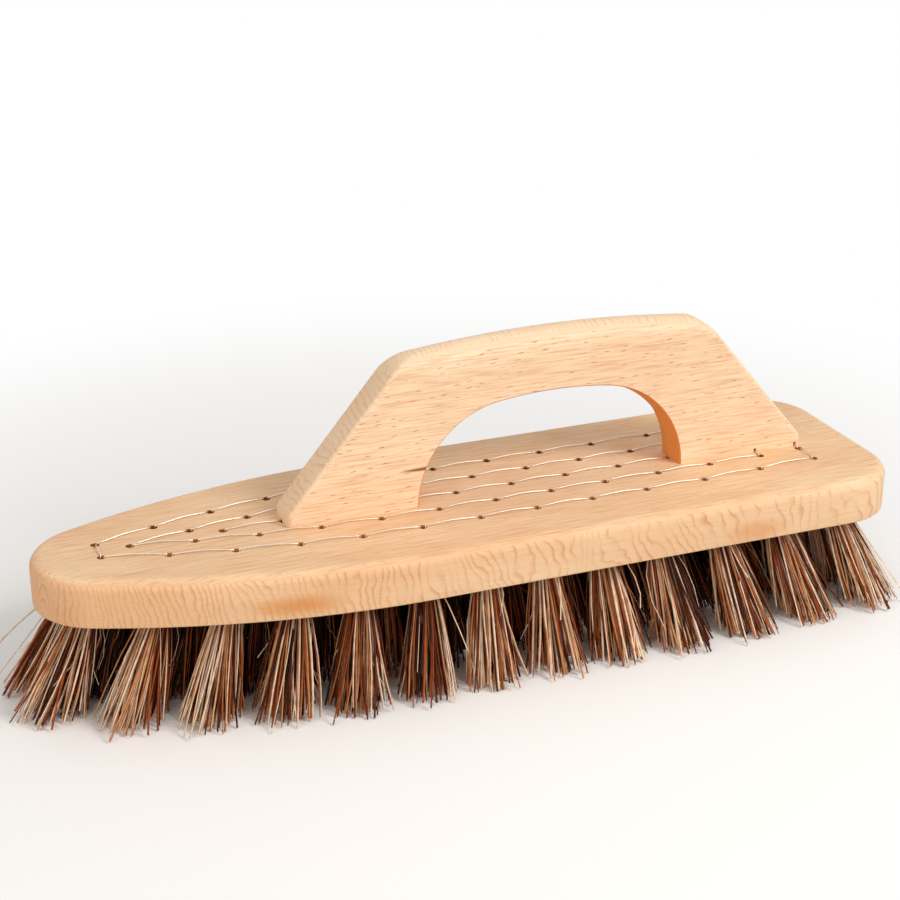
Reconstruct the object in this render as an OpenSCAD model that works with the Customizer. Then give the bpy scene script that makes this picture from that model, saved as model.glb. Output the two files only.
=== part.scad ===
// Hand-drawn scrub brush: a flat-iron shaped beech block with a raised beech grip,
// and tufts of mixed plant fibre that wire stitches pull up into the block.
// X runs from the nose (-) to the tail (+), Y from the front (-) to the back (+), Z up.
// The origin lies on the plane of the trimmed tips, at the middle of the footprint.

/* [Block] */
// Length of the block, nose to tail
block_l = 280; // [270:1:300]
// Width of the block between its straight flanks
block_w = 81; // [77:1:89]
// Thickness of the block
block_t = 15; // [13:0.5:20]
// Distance from the nose at which the curved sides meet the straight flanks
taper_x = 115; // [105:1:120]
// Radius of the curved sides in plan
side_r = 265; // [255:5:320]
// Radius of the two tail corners in plan
corner_r = 20; // [14:0.5:26]
// Rounding of the block's top edge
top_round = 3.5; // [2:0.25:5]
// Rounding of the block's bottom edge
bottom_round = 0.8; // [0.4:0.1:1.5]

/* [Grip] */
// Length of the grip over both feet
grip_l = 181.5; // [178:0.5:188]
// Thickness of the grip, front face to back face
grip_t = 13; // [11:0.5:16]
// Height of the grip above the block
grip_h = 52.5; // [48:0.5:56]
// Distance from the block's tail to the middle of the grip
grip_set = 111.5; // [106:0.5:118]
// Height at which the foot's end turns into the slope
foot_rise = 3.5; // [3:0.5:6]
// Radius between the foot's end and the slope
foot_r = 5; // [5:0.5:7]
// Slope of both ends of the grip, degrees from level
slope_deg = 50; // [47:1:55]
// Radius of the shoulders between slope and crown
shoulder_r = 17; // [11:1:22]
// Radius of the crown along the grip
crown_r = 410; // [300:10:900]
// Rounding of the grip's edges along the crown
crown_round = 6; // [4:0.25:6]
// Rounding of the grip's edges along the feet and slopes
foot_round = 1.6; // [0.8:0.2:2.6]
// Width of the finger opening at the block
opening_w = 92.5; // [86:0.5:96]
// Height of the finger opening
opening_h = 33; // [32.5:0.5:35.5]
// Radius of the opening's two haunches
haunch_r = 32; // [28:0.5:32]
// How far the opening's middle lies nearer the nose than the grip's
opening_set = 1.5; // [0:0.5:3]
// Height of the ridge round the middle of the opening's wall
ridge = 1.2; // [0.4:0.1:2]

/* [Drilling] */
// Distance from the nose to the first pair of the outer ring
row_start = 20.5; // [18:0.5:24]
// Distance from the tail to the tail column
tail_inset = 23; // [20:0.5:26]
// How much wider the last gaps of the outer ring are
tail_stretch = 1.1; // [1.04:0.02:1.16]
// Half the spacing of the outer ring's long rows
outer_half = 20.4; // [19:0.2:22]
// Radius of the outer ring's rows towards the nose
outer_r = 290; // [280:5:340]
// How far the corner tufts are set in from their row
corner_in = 2; // [0:0.25:3]
// Half the spacing of the inner ring's long rows
inner_half = 9.9; // [9.4:0.1:10.6]
// Radius of the inner ring's rows towards the nose
inner_r = 360; // [340:10:420]
// Sideways lean of the outer ring's long rows, degrees from upright
outer_lean = 21; // [18:1:24]
// Sideways lean of the nose pair and of the tufts beside the tail's middle
end_lean = 10; // [9:1:12]
// Sideways lean of the inner ring
inner_lean = 12; // [10:1:14]
// Distance from the nose at which the tufts stand upright along the brush
fan_x = 158; // [150:2:166]
// Height above the block at which the lines of the lengthwise fan meet
fan_h = 325; // [290:5:420]

/* [Tufts] */
// Length of the bristles below the block
trim = 32; // [28:1:38]
// Diameter of the drilled tuft holes
tuft_hole_d = 6.4; // [5.6:0.2:6.8]
// Depth of the tuft holes along their own axis
tuft_hole_depth = 10; // [8:0.5:11]
// How far the packed bundle shows below its hole
neck = 2; // [1.5:0.25:3]
// Radius of the ring of strands where they leave the bundle
fan_root = 1.95; // [1.7:0.05:2]
// Radius of the ring of strands at the tips
fan_tip = 7.8; // [6:0.1:8]
// Radius of a strand at the bundle
strand_root = 0.8; // [0.6:0.05:0.85]
// Radius of a strand at the tip
strand_tip = 0.62; // [0.4:0.02:0.7]
// Clearance of a bundle in its hole
tuft_gap = 0.1; // [0.05:0.05:0.2]

/* [Draw wire] */
// Diameter of the draw wire
wire_d = 0.45; // [0.35:0.05:0.5]
// Diameter of the wire holes in the top face
wire_hole_d = 2.6; // [2.4:0.1:3]
// Height of the wire's middle above the block between two holes
wire_arch = 0.8; // [0.5:0.05:1.2]
// Clearance of a wire in the grooves under the grip
wire_gap = 0.25; // [0.15:0.05:0.4]

/* [Screws] */
// Diameter of the screw shank
screw_d = 3.5; // [3:0.5:4]
// Length of the screws
screw_l = 29; // [27:1:31]
// Diameter of the countersunk heads
head_d = 7; // [6:0.5:7.5]
// Distance of the screws from the middle line, clear of the draw wire
screw_off = 3; // [2.8:0.1:3.2]
// Clearance round screw and head
screw_gap = 0.1; // [0.05:0.05:0.2]

/* [Hidden] */
$fn = 96;
wood = "#f0cd9f";
fibre = "#8a5a35";
steel = "#c9c4bb";

// Levels, and how far a cut runs past a face
under_z = trim;
top_z = trim + block_t;
over = 1;

// Block outline: a nose arc and two side arcs that meet without a corner
half_w = block_w / 2;
side_y = side_r - half_w;
nose_r = (side_r * side_r - side_y * side_y - taper_x * taper_x) / (2 * (side_r - taper_x));
nose_deg = atan2(side_y, nose_r - taper_x);
function arc(c, r, from, to, n) = [for (i = [0:n]) let (a = from + (to - from) * i / n)
  c + r * [cos(a), sin(a)]];
function outline(o) = let (back = concat(
    arc([block_l - corner_r, half_w - corner_r], corner_r - o, 0, 90, 6),
    arc([taper_x, -side_y], side_r - o, 90, nose_deg, 14),
    arc([nose_r, 0], nose_r - o, nose_deg, 180, 9)))
  concat(back, [for (i = [len(back) - 2:-1:0]) [back[i].x, -back[i].y]]);
block_levels = concat(
  [for (i = [0:2]) let (a = 45 * i) bottom_round * [1 - cos(a), 1 - sin(a)]],
  [for (i = [5:-1:0]) let (a = 18 * i) [block_t, 0] + top_round * [cos(a) - 1, 1 - sin(a)]]);
block_rings = [for (v = block_levels) [for (p = outline(v[1])) [p.x, p.y, under_z + v[0]]]];

// Stations of the drilling template, from the nose
outer_last = 12;
even_gaps = 9;
inner_count = 11;
centre_count = 10;
tail_x = block_l - tail_inset;
pitch = (tail_x - row_start) / (even_gaps + (outer_last - even_gaps) * tail_stretch);
function bowed(x, half, r) = half - (x < taper_x ? r - sqrt(r * r - pow(taper_x - x, 2)) : 0);
function outer_x(i) = row_start + pitch * (min(i, even_gaps) + max(0, i - even_gaps) * tail_stretch);
function outer_y(i) = bowed(outer_x(i), outer_half, outer_r) - corner_in * max(0, i - outer_last + 2) / 2;
function inner_x(k) = row_start + pitch * (k + 0.5);
function inner_y(k) = bowed(inner_x(k), inner_half, inner_r);
function centre_x(k) = row_start + pitch * (k + 1);

// The two rings, each listed once round: front row, tail, back row
corner_y = outer_y(outer_last);
outer_ring = concat(
  [for (i = [0:outer_last]) [outer_x(i), -outer_y(i)]],
  [for (k = [-1:1]) [tail_x, k * corner_y / 2]],
  [for (i = [outer_last:-1:0]) [outer_x(i), outer_y(i)]]);
inner_ring = concat(
  [[inner_x(0), 0]],
  [for (k = [1:inner_count]) [inner_x(k), -inner_y(k)]],
  [for (k = [inner_count:-1:1]) [inner_x(k), inner_y(k)]]);
function around(ring, i) = ring[(i + len(ring)) % len(ring)];
function out_deg(ring, i) = let (t = around(ring, i + 1) - around(ring, i - 1)) atan2(-t.x, t.y);

// A hole is [x, y, direction across its row, sideways lean]
function at_end(p) = p.x < row_start + 0.01 || (p.x > tail_x - 0.01 && abs(p.y) < corner_y - 0.01);
outer_holes = [for (i = [0:len(outer_ring) - 1]) let (p = outer_ring[i])
  [p.x, p.y, out_deg(outer_ring, i), sign(p.y) * (at_end(p) ? end_lean : outer_lean)]];
inner_holes = [for (i = [0:len(inner_ring) - 1]) let (p = inner_ring[i])
  [p.x, p.y, out_deg(inner_ring, i), sign(p.y) * inner_lean]];
centre_holes = [for (k = [1:centre_count]) [centre_x(k), 0, -90, 0]];
all_holes = concat(outer_holes, inner_holes, centre_holes);

// Directions at a hole: down its axis, and across its row, square to the axis and level
function unit(v) = v / norm(v);
function fan(x) = (x - fan_x) / fan_h;
function down(h) = unit([fan(h[0]), tan(h[3]), -1]);
function level(h) = [cos(h[2]), sin(h[2]), 0];
function outward(h) = let (d = down(h), l = level(h)) unit(l - (l * d) * d);
function mouth(h) = [h[0], h[1], top_z];
function hole_l(h) = -block_t / down(h).z;
function shaky(a, b) = sin(a * 137.5 + b * 71.3 + 19);

// Strands: each has a root ring inside the bundle, a middle ring and a flat cut tip
outer_strands = 7;
inner_strands = 6;
strand_sides = 3;
bite = 1;
function strand_deg(n, j, s) = 360 * j / (n - 1) + 9 * shaky(s, j);
function strand_out(h, n, j, s) = j == n - 1 ? outward(h)
  : cos(strand_deg(n, j, s)) * outward(h) + sin(strand_deg(n, j, s)) * cross(down(h), outward(h));
function strand_fan(n, j, s, t) = j == n - 1 ? 0
  : fan_root + (fan_tip * (1 + 0.09 * shaky(j, s + 3)) - fan_root) * (t + 0.26 * t * (1 - t));
function strand_at(h, n, j, s, t) = let (start = hole_l(h) + neck - bite, run = -top_z / down(h).z - start)
  mouth(h) + down(h) * (start + run * t) + strand_out(h, n, j, s) * strand_fan(n, j, s, t);
function strand_ring(h, n, j, s, t, r) = let (e = strand_out(h, n, j, s), f = cross(down(h), e))
  [for (k = [0:strand_sides - 1]) let (a = 360 * k / strand_sides)
    strand_at(h, n, j, s, t) + r * (cos(a) * e + sin(a) * f)];
function strand_points(h, n, j, s) = let (
    half = strand_ring(h, n, j, s, 0.5, (strand_root + strand_tip) / 2),
    end = strand_ring(h, n, j, s, 1, strand_tip),
    g = unit(strand_at(h, n, j, s, 1) - strand_at(h, n, j, s, 0.5)))
  concat(strand_ring(h, n, j, s, 0, strand_root), half, [for (p = end) p - g * (p.z / g.z)]);
function tube_faces(rings, m) = concat(
  [for (k = [1:m - 2]) [0, k, k + 1]],
  [for (i = [0:rings - 2]) for (k = [0:m - 1]) each quad(i * m, (i + 1) * m, k, (k + 1) % m)],
  [for (k = [1:m - 2]) [(rings - 1) * m, (rings - 1) * m + k + 1, (rings - 1) * m + k]]);
function quad(a, b, k, l) = [[a + k, b + k, b + l], [a + k, b + l, a + l]];

// The footprint's middle, from the outermost cut tips at the nose and the tail
function tips_x(h, n, s) = [for (j = [0:n - 1]) let (p = strand_points(h, n, j, s))
  for (k = [0:strand_sides - 1]) p[2 * strand_sides + k].x];
tail_mid = outer_last + 2;
mid_x = (min(tips_x(outer_holes[0], outer_strands, 0))
  + max(tips_x(outer_holes[tail_mid], outer_strands, tail_mid))) / 2;

// Draw wire: at each hole it dives to the fold of the tuft, turns and comes up again
wire_sides = 5;
wire_r = wire_d / 2;
wire_leg = 0.7;
wire_lift = 0.08;
edge_gap = 0.1;
wire_lip = wire_hole_d / 2 - wire_r - edge_gap;
loop_in = 1;
fold_gap = 0.2;
function loop_l(h) = hole_l(h) - tuft_hole_depth + loop_in;
function heading(a, b) = unit([b[0] - a[0], b[1] - a[1], 0]);
function dive(h, to) = mouth(h) + to * wire_lip + [0, 0, wire_r + wire_lift];
function turn(h, to) = mouth(h) + down(h) * loop_l(h) + to * wire_leg;
function crest(a, b) = (mouth(a) + mouth(b)) / 2 + [0, 0, wire_arch];
function stitch(a, h, b) = [
  [dive(h, -heading(a, h)), level(h)], [turn(h, -heading(a, h)), level(h)],
  [turn(h, heading(h, b)), level(h)], [dive(h, heading(h, b)), level(h)],
  [crest(h, b), unit(level(h) + level(b))]];
function ring_path(hs) = [for (i = [0:len(hs) - 1])
  each stitch(around(hs, i - 1), hs[i], around(hs, i + 1))];
function row_path(hs) = let (n = len(hs) - 1, d = heading(hs[0], hs[n])) concat(
  [[turn(hs[0], -d), level(hs[0])], [turn(hs[0], d), level(hs[0])],
    [dive(hs[0], d), level(hs[0])], [crest(hs[0], hs[1]), level(hs[0])]],
  [for (i = [1:n - 1]) each stitch(hs[i - 1], hs[i], hs[i + 1])],
  [[dive(hs[n], -d), level(hs[n])], [turn(hs[n], -d), level(hs[n])], [turn(hs[n], d), level(hs[n])]]);
function wire_ring(before, here, after) = let (t = unit(after[0] - before[0]),
    s = unit(here[1] - (here[1] * t) * t), u = cross(t, s))
  [for (k = [0:wire_sides - 1]) let (a = 360 * k / wire_sides)
    here[0] + wire_r * (cos(a) * s + sin(a) * u)];

// Grip outline, seen from the front, from its middle: foot end, slope, shoulder, crown
grip_x = block_l - grip_set;
grip_end = grip_l / 2;
slope_n = [sin(slope_deg), cos(slope_deg)];
slope_u = [-cos(slope_deg), sin(slope_deg)];
foot_c = [grip_end - foot_r, foot_rise + foot_r * (sin(slope_deg) - 1) / cos(slope_deg)];
crown_c = [0, grip_h - crown_r];
slope_q = [grip_end, foot_rise] - slope_n * shoulder_r - crown_c;
slope_b = slope_u * slope_q;
shoulder_c = crown_c + slope_q
  + slope_u * (sqrt(slope_b * slope_b - slope_q * slope_q + pow(crown_r - shoulder_r, 2)) - slope_b);
crown_n = unit(shoulder_c - crown_c);
crown_deg = atan2(crown_n.y, crown_n.x);
function facing(c, r, from, to, n) = [for (i = [0:n]) let (a = from + (to - from) * i / n)
  [c.x + r * cos(a), c.y + r * sin(a), a]];
grip_right = concat([[grip_end, 0, 0]],
  facing(foot_c, foot_r, 0, 90 - slope_deg, 5),
  facing(shoulder_c, shoulder_r, 90 - slope_deg, crown_deg, 7),
  facing(crown_c, crown_r, crown_deg, 90, 6));
grip_line = concat(grip_right,
  [for (i = [len(grip_right) - 2:-1:0]) let (p = grip_right[i]) [-p.x, p.y, 180 - p.z]]);

// The rounding grows over the shoulders, from that of the slopes to that of the crown
full_round = min(crown_round, grip_t / 2 - 0.4);
function over_shoulder(a) = let (turned = (min(a, 180 - a) - 90 + slope_deg) / (crown_deg - 90 + slope_deg))
  max(0, min(1, turned));
function edge_round(a) = foot_round + (full_round - foot_round) * over_shoulder(a);
function grip_point(p, v) = let (r = edge_round(p.z), o = r * (1 - cos(v[0])))
  [grip_x + p.x - o * cos(p.z), v[1] * (r - grip_t / 2) - r * sin(v[0]), top_z + p.y - o * sin(p.z)];
grip_steps = 5;
grip_levels = concat(
  [for (i = [0:grip_steps]) [-90 + 90 * i / grip_steps, -1]],
  [for (i = [0:grip_steps]) [90 * i / grip_steps, 1]]);
grip_rings = [for (v = grip_levels) [for (p = grip_line) grip_point(p, v)]];

// Finger opening: two haunch arcs and a flatter crown arc that meet without a corner
haunch_x = opening_w / 2 - haunch_r;
haunch_gap = opening_h - haunch_r;
vault_z = (haunch_x * haunch_x - haunch_gap * haunch_gap) / (2 * haunch_gap);
vault_r = opening_h + vault_z;
vault_deg = atan2(vault_z, haunch_x);
function opening_outline(o) = let (right = concat([[opening_w / 2 - o, -2 * over]],
    arc([haunch_x, 0], haunch_r - o, 0, vault_deg, 12),
    arc([0, -vault_z], vault_r - o, vault_deg, 90, 4)))
  concat(right, [for (i = [len(right) - 2:-1:0]) [-right[i].x, right[i].y]]);
opening_x = grip_x - opening_set;
opening_rings = [for (v = [-1, 0, 1]) [for (p = opening_outline(v == 0 ? ridge : -ridge * 2 * over / grip_t))
  [opening_x + p.x, -v * (grip_t / 2 + over), top_z + p.y]]];

// Grooves in the feet for the stitches that pass under them
groove_w = 2 * (wire_r + wire_gap);
groove_h = wire_arch + wire_r + wire_gap;
function stitches(hs, n) = [for (i = [0:n - 1]) [hs[i], around(hs, i + 1)]];
function meets_grip(s) = (s[0].y * s[1].y < 0 || min(abs(s[0].y), abs(s[1].y)) < grip_t / 2 + groove_w)
  && max(s[0].x, s[1].x) > grip_x - grip_end && min(s[0].x, s[1].x) < grip_x + grip_end;
grip_stitches = [for (s = concat(stitches(outer_holes, len(outer_holes)),
    stitches(inner_holes, len(inner_holes)), stitches(centre_holes, centre_count - 1)))
  if (meets_grip(s)) s];

// Screws, one in each foot: midway between two fanned tufts of the centre row, on the opening's
// side of the foot's middle, where the foot is thick, and on either side of the draw wire
foot_mid = (grip_end + opening_w / 2) / 2;
function gap_at(x) = (x - row_start) / pitch - 1.5;
function between(k) = let (x = centre_x(k + 0.5)) x + block_t * fan(x);
screw_spots = [
  [between(ceil(gap_at(grip_x - foot_mid))), -screw_off],
  [between(floor(gap_at(grip_x + foot_mid))), screw_off]];
head_h = (head_d - screw_d) / 2;
point_h = 4;
point_d = 0.4;
recess_l = 4.2;
recess_w = 0.9;
recess_h = 1.2;

module placed() {
  translate([-mid_x, 0, 0]) children();
}

module at_hole(h) {
  d = down(h);
  translate(mouth(h)) rotate([0, 0, atan2(d.y, d.x)]) rotate([0, -acos(-d.z), 0]) children();
}

// A closed skin over a stack of rings with equally many points
module skin(rings) {
  polyhedron([for (r = rings) each r], tube_faces(len(rings), len(rings[0])));
}

module block() {
  color(wood) placed() difference() {
    skin(block_rings);
    for (h = all_holes) at_hole(h) {
      translate([0, 0, -hole_l(h) - tuft_hole_d])
        cylinder(h = tuft_hole_depth + tuft_hole_d, d = tuft_hole_d);
      translate([0, 0, -hole_l(h)]) cylinder(h = hole_l(h) + wire_hole_d, d = wire_hole_d);
    }
    for (p = screw_spots) translate([p.x, p.y, under_z]) {
      translate([0, 0, -over]) cylinder(h = block_t + 2 * over, d = screw_d + 2 * screw_gap);
      translate([0, 0, -screw_gap]) cylinder(h = head_h + 2 * screw_gap,
        d1 = head_d + 2 * screw_gap, d2 = screw_d);
    }
  }
}

module groove(a, b) {
  run = [b.x - a.x, b.y - a.y];
  translate([a.x, a.y, top_z - over]) rotate([0, 0, atan2(run.y, run.x)])
    translate([0, -groove_w / 2, 0]) cube([norm(run), groove_w, groove_h + over]);
}

module grip() {
  color(wood) placed() difference() {
    skin(grip_rings);
    skin(opening_rings);
    for (s = grip_stitches) groove(s[0], s[1]);
    for (p = screw_spots) translate([p.x, p.y, top_z - over])
      cylinder(h = screw_l - block_t + 2 * over, d = screw_d + 2 * screw_gap);
  }
}

module screw(p) {
  color(steel) placed() translate([p.x, p.y, under_z]) difference() {
    union() {
      cylinder(h = head_h, d1 = head_d, d2 = screw_d);
      cylinder(h = screw_l - point_h, d = screw_d);
      translate([0, 0, screw_l - point_h]) cylinder(h = point_h, d1 = screw_d, d2 = point_d);
    }
    for (a = [0, 90]) rotate([0, 0, a]) cube([recess_l, recess_w, 2 * recess_h], center = true);
  }
}

module wire_closed(path) {
  n = len(path);
  pts = [for (i = [0:n - 1]) each wire_ring(around(path, i - 1), path[i], around(path, i + 1))];
  color(steel) placed() polyhedron(pts, [for (i = [0:n - 1]) for (k = [0:wire_sides - 1])
    each quad(i * wire_sides, ((i + 1) % n) * wire_sides, k, (k + 1) % wire_sides)]);
}

module wire_open(path) {
  n = len(path);
  pts = [for (i = [0:n - 1]) each wire_ring(path[max(i - 1, 0)], path[i], path[min(i + 1, n - 1)])];
  color(steel) placed() polyhedron(pts, tube_faces(n, wire_sides));
}

module tuft(h, n, s) {
  color(fibre) placed() union() {
    at_hole(h) difference() {
      translate([0, 0, -hole_l(h) - neck])
        cylinder(h = neck + tuft_hole_depth - tuft_gap, d = tuft_hole_d - 2 * tuft_gap);
      translate([0, 0, -loop_l(h) - wire_r - fold_gap]) cylinder(h = 3 * loop_in, d = wire_hole_d);
    }
    for (j = [0:n - 1]) polyhedron(strand_points(h, n, j, s), tube_faces(3, strand_sides));
  }
}

module outer_pair(i) {
  tuft(outer_holes[i], outer_strands, i);
  mirror([0, 1, 0]) tuft(outer_holes[i], outer_strands, i);
}

module inner_pair(k) {
  tuft(inner_holes[k], inner_strands, k + 20);
  mirror([0, 1, 0]) tuft(inner_holes[k], inner_strands, k + 20);
}

module centre_tuft(k) {
  tuft(centre_holes[k - 1], inner_strands, k + 40);
}

block();
grip();
screw(screw_spots[0]);  // screw_nose
screw(screw_spots[1]);  // screw_tail
wire_closed(ring_path(outer_holes));  // wire_outer
wire_closed(ring_path(inner_holes));  // wire_inner
wire_open(row_path(centre_holes));  // wire_centre
outer_pair(0);  // tuft_outer_00
outer_pair(1);  // tuft_outer_01
outer_pair(2);  // tuft_outer_02
outer_pair(3);  // tuft_outer_03
outer_pair(4);  // tuft_outer_04
outer_pair(5);  // tuft_outer_05
outer_pair(6);  // tuft_outer_06
outer_pair(7);  // tuft_outer_07
outer_pair(8);  // tuft_outer_08
outer_pair(9);  // tuft_outer_09
outer_pair(10);  // tuft_outer_10
outer_pair(11);  // tuft_outer_11
outer_pair(12);  // tuft_outer_12
outer_pair(outer_last + 1);  // tuft_tail_side
tuft(outer_holes[tail_mid], outer_strands, tail_mid);  // tuft_tail_mid
tuft(inner_holes[0], inner_strands, 20);  // tuft_inner_tip
inner_pair(1);  // tuft_inner_01
inner_pair(2);  // tuft_inner_02
inner_pair(3);  // tuft_inner_03
inner_pair(4);  // tuft_inner_04
inner_pair(5);  // tuft_inner_05
inner_pair(6);  // tuft_inner_06
inner_pair(7);  // tuft_inner_07
inner_pair(8);  // tuft_inner_08
inner_pair(9);  // tuft_inner_09
inner_pair(10);  // tuft_inner_10
inner_pair(11);  // tuft_inner_11
centre_tuft(1);  // tuft_centre_01
centre_tuft(2);  // tuft_centre_02
centre_tuft(3);  // tuft_centre_03
centre_tuft(4);  // tuft_centre_04
centre_tuft(5);  // tuft_centre_05
centre_tuft(6);  // tuft_centre_06
centre_tuft(7);  // tuft_centre_07
centre_tuft(8);  // tuft_centre_08
centre_tuft(9);  // tuft_centre_09
centre_tuft(10);  // tuft_centre_10
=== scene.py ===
"""Dressing and studio for a hand-drawn scrub brush: a flat-iron shaped beech block, a raised
beech grip, wire stitching over the top and tufts of mixed plant fibre underneath.

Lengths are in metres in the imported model's frame: X from the nose to the tail, Y from the
front to the back, Z up, and the origin on the plane of the trimmed tips. Every piece is built
from the sizes in the panel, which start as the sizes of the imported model."""

import math
from functools import partial

import bmesh
import bpy
import numpy as np
from bpy.props import FloatProperty, FloatVectorProperty, IntProperty, PointerProperty
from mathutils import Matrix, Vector


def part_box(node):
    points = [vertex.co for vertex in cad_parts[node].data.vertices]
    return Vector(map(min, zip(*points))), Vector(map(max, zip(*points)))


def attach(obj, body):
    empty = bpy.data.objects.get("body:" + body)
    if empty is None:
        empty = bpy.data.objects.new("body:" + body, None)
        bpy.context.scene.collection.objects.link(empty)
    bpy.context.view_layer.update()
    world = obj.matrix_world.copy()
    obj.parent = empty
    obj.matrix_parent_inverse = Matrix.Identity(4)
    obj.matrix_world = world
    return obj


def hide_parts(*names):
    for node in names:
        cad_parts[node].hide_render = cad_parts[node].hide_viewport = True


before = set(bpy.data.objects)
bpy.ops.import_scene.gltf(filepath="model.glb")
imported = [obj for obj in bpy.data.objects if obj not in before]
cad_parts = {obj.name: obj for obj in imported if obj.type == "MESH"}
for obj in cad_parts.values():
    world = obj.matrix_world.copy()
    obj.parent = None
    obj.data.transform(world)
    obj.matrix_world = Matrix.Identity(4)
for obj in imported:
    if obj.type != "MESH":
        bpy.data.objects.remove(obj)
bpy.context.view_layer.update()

bl_info = {
    "name": "Scrub Brush",
    "version": (1, 0, 0),
    "blender": (4, 5, 0),
    "location": "3D View > Sidebar > Scrub Brush",
    "description": "Builds a beech scrub brush with a raised grip, draw wire and fibre tufts",
    "category": "Object",
}

# kinds of node that the trees use often. A map range takes value, from low, from high, to low
# and to high. A mix takes its factor at 0, numbers at 2 and 3 and colours at 6 and 7
MATH, VECTOR, SPLIT = "ShaderNodeMath", "ShaderNodeVectorMath", "ShaderNodeSeparateXYZ"
MAPPING, NOISE, MIX = "ShaderNodeMapping", "ShaderNodeTexNoise", "ShaderNodeMix"
RANGE, REALIZE = "ShaderNodeMapRange", "GeometryNodeRealizeInstances"
NAMED, STORE = "GeometryNodeInputNamedAttribute", "GeometryNodeStoreNamedAttribute"

# counts of the drilling: the last outer pair, the last one that is spaced evenly, and the
# places of the inner ring and the centre row
LAST_PAIR, EVEN_PAIR, INNER_PLACES, CENTRE_PLACES = 12, 9, 12, 10

# lengths in metres that aren't set in the panel
PAST = 0.001  # how far a cutter runs past a face
SAME = 1e-5  # places closer than this are the same
SHARP, LEVEL = 15, 0.9999  # degrees from which an edge is sharp, and cosine that counts as plane
SCREW, SCREW_LONG, SCREW_GAP = 0.0035, 0.030, 0.0001  # diameter, length and clearance
WALL_REACH = 0.0034  # faces this near the axis of a tuft hole may belong to its wall
FLAT_CROWN = 0.0004  # least half width of the flat between the crown's rounded edges
LOOP_UP = 0.001  # how far the loop of a wire stays below the end of its tuft hole
LIP_GAP, LIFT, DIP = 0.0001, 0.00008, 0.00035  # wire to the hole's lip, over the top, first bend
NOSE_MM = 137.0  # how far towards the nose the ring lines on the edges start to count, in mm


def linear(text):
    """The linear colour of an sRGB hex value such as #E8C39A."""
    parts = [int(text[i:i + 2], 16) / 255 for i in (1, 3, 5)]
    return tuple(c / 12.92 if c <= 0.04045 else ((c + 0.055) / 1.055) ** 2.4 for c in parts)


def length(name, description, default):
    """A length property, in metres."""
    return FloatProperty(name=name, description=description, default=default, min=0,
                         unit="LENGTH", precision=5)


def angle(name, description, degrees):
    """An angle property, whose default is given in degrees."""
    return FloatProperty(name=name, description=description, default=math.radians(degrees),
                         unit="ROTATION", subtype="ANGLE")


def colour(name, description, text):
    """A colour property, whose default is an sRGB hex value."""
    return FloatVectorProperty(name=name, description=description, default=linear(text),
                               subtype="COLOR", size=3, min=0, max=1)


# ---------------------------------------------------------------- sizes and colours

class ScrubBlock(bpy.types.PropertyGroup):
    long: length("Length", "Length of the block, nose to tail", 0.280)
    wide: length("Width", "Width of the block between its straight flanks", 0.081)
    thick: length("Thickness", "Thickness of the block", 0.015)
    taper: length("Taper", "Distance from the nose at which the curved sides end", 0.115)
    side_radius: length("Side radius", "Radius of the curved sides in plan", 0.265)
    corner_radius: length("Corner radius", "Radius of the tail corners in plan", 0.020)
    top_round: length("Top rounding", "Rounding of the top edge", 0.0035)
    bottom_round: length("Bottom rounding", "Rounding of the bottom edge", 0.0008)


class ScrubGrip(bpy.types.PropertyGroup):
    long: length("Length", "Length of the grip over both feet", 0.1815)
    thick: length("Thickness", "Thickness of the grip, front to back", 0.013)
    high: length("Height", "Height of the grip above the block", 0.0525)
    from_tail: length("From tail", "Distance from the block's tail to the grip's middle", 0.1115)
    foot_rise: length("Foot rise", "Height at which the foot's end turns into the slope", 0.0035)
    foot_radius: length("Foot radius", "Radius between the foot's end and the slope", 0.005)
    slope: angle("Slope", "Slope of both ends of the grip from level", 50)
    shoulder_radius: length("Shoulder radius", "Radius between slope and crown", 0.017)
    crown_radius: length("Crown radius", "Radius of the crown along the grip", 0.410)
    crown_round: length("Crown rounding", "Rounding of the edges along the crown", 0.006)
    foot_round: length("Foot rounding", "Rounding of the edges along feet and slopes", 0.0016)
    opening_wide: length("Opening width", "Width of the finger opening", 0.0925)
    opening_high: length("Opening height", "Height of the finger opening", 0.033)
    haunch_radius: length("Haunch radius", "Radius of the opening's haunches", 0.032)
    opening_set: length("Opening set", "How far the opening lies nearer the nose", 0.0015)
    ridge: length("Ridge", "Height of the ridge round the opening's wall", 0.0012)
    screw_off: length("Screw offset", "Distance of the screws from the middle line", 0.003)
    arris: length("Arris", "Width of the sanded arris round the opening", 0.0004)


class ScrubDrilling(bpy.types.PropertyGroup):
    row_start: length("First pair", "Distance from the nose to the first pair of tufts", 0.0205)
    tail_inset: length("Tail inset", "Distance from the tail to the tail column", 0.023)
    tail_stretch: FloatProperty(name="Tail stretch", default=1.1,
                                description="How much wider the last gaps of the outer ring are")
    outer_half: length("Outer half spacing", "Half the spacing of the outer long rows", 0.0204)
    outer_radius: length("Outer radius", "Radius of the outer rows towards the nose", 0.290)
    corner_in: length("Corner inset", "How far the corner tufts are set in", 0.002)
    inner_half: length("Inner half spacing", "Half the spacing of the inner long rows", 0.0099)
    inner_radius: length("Inner radius", "Radius of the inner rows towards the nose", 0.360)
    outer_lean: angle("Outer lean", "Sideways lean of the outer rows", 21)
    end_lean: angle("End lean", "Sideways lean of the nose pair and beside the tail's middle", 10)
    inner_lean: angle("Inner lean", "Sideways lean of the inner ring", 12)
    fan_from: length("Fan from", "Distance from the nose at which the tufts stand upright", 0.158)
    fan_high: length("Fan height", "Height at which the lines of the lengthwise fan meet", 0.325)
    tuft_hole: length("Tuft hole", "Diameter of the drilled tuft holes", 0.0064)
    tuft_depth: length("Tuft hole depth", "Depth of the tuft holes", 0.010)
    wire_hole: length("Wire hole", "Diameter of the wire holes in the top face", 0.0026)


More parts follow.
